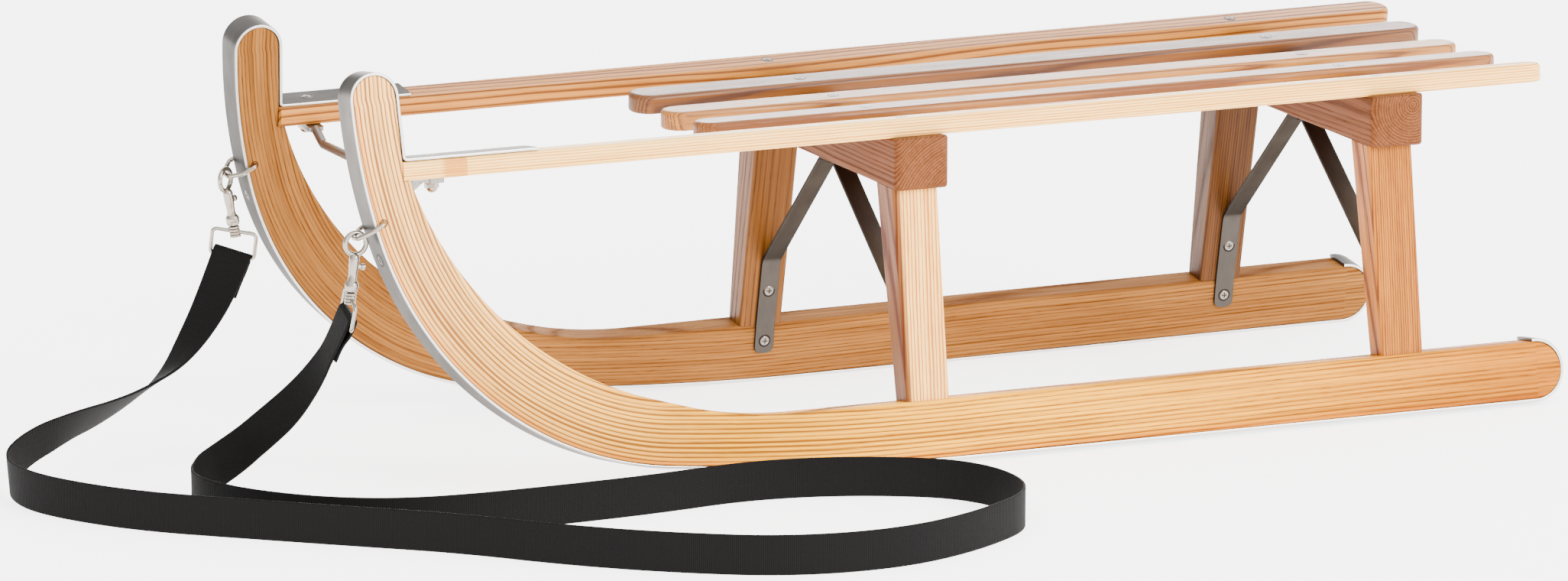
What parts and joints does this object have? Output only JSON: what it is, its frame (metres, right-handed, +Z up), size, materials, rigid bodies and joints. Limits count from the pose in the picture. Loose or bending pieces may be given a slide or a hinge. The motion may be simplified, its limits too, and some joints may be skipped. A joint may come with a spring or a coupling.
{
  "type": "wooden sled",
  "caption": "Wooden toboggan-style sled with bent horned runners shod in flat steel, slatted seat, flat steel braces, and a webbing tow line on two snap hooks.",
  "frame": {"origin": "on the ground, at the middle of the length and of the width of the sled without its tow line", "axes": "+X forwards to the horns, +Y to the left, +Z up"},
  "size_m": [1.2142, 0.6298, 0.3283],
  "materials": {
    "wood_runner": "satin lacquer",
    "wood_outer_slat": "satin lacquer",
    "wood_slat": "satin lacquer",
    "wood_crossbeam": "satin lacquer",
    "wood_leg": "satin lacquer",
    "steel_band": "satin",
    "steel_brace": "satin",
    "steel_rod": "satin",
    "nickel_ring": "bright",
    "nickel_hook": "bright",
    "webbing": "woven"
  },
  "bodies": {
    "root": {"brace_front_left": "steel_brace", "brace_front_right": "steel_brace", "brace_rear_left": "steel_brace", "brace_rear_right": "steel_brace", "cross_rod": "steel_rod", "crossbeam_front": "wood_crossbeam", "crossbeam_rear": "wood_crossbeam", "leg_front_left": "wood_leg", "leg_front_right": "wood_leg", "leg_rear_left": "wood_leg", "leg_rear_right": "wood_leg", "runner_band_left": "steel_band", "runner_band_right": "steel_band", "runner_left": "wood_runner", "runner_right": "wood_runner", "slat_inner_left": "wood_slat", "slat_inner_right": "wood_slat", "slat_middle": "wood_slat", "slat_outer_left": "wood_outer_slat", "slat_outer_right": "wood_outer_slat", "snap_bolt_left": "nickel_hook", "snap_bolt_right": "nickel_hook", "snap_hook_left": "nickel_hook", "snap_hook_right": "nickel_hook", "swivel_loop_left": "nickel_hook", "swivel_loop_right": "nickel_hook", "tow_ring_left": "nickel_ring", "tow_ring_right": "nickel_ring", "tow_strap": "webbing", "tow_strap_left_rise": "webbing", "tow_strap_right_rise": "webbing"}
  },
  "joints": []
}
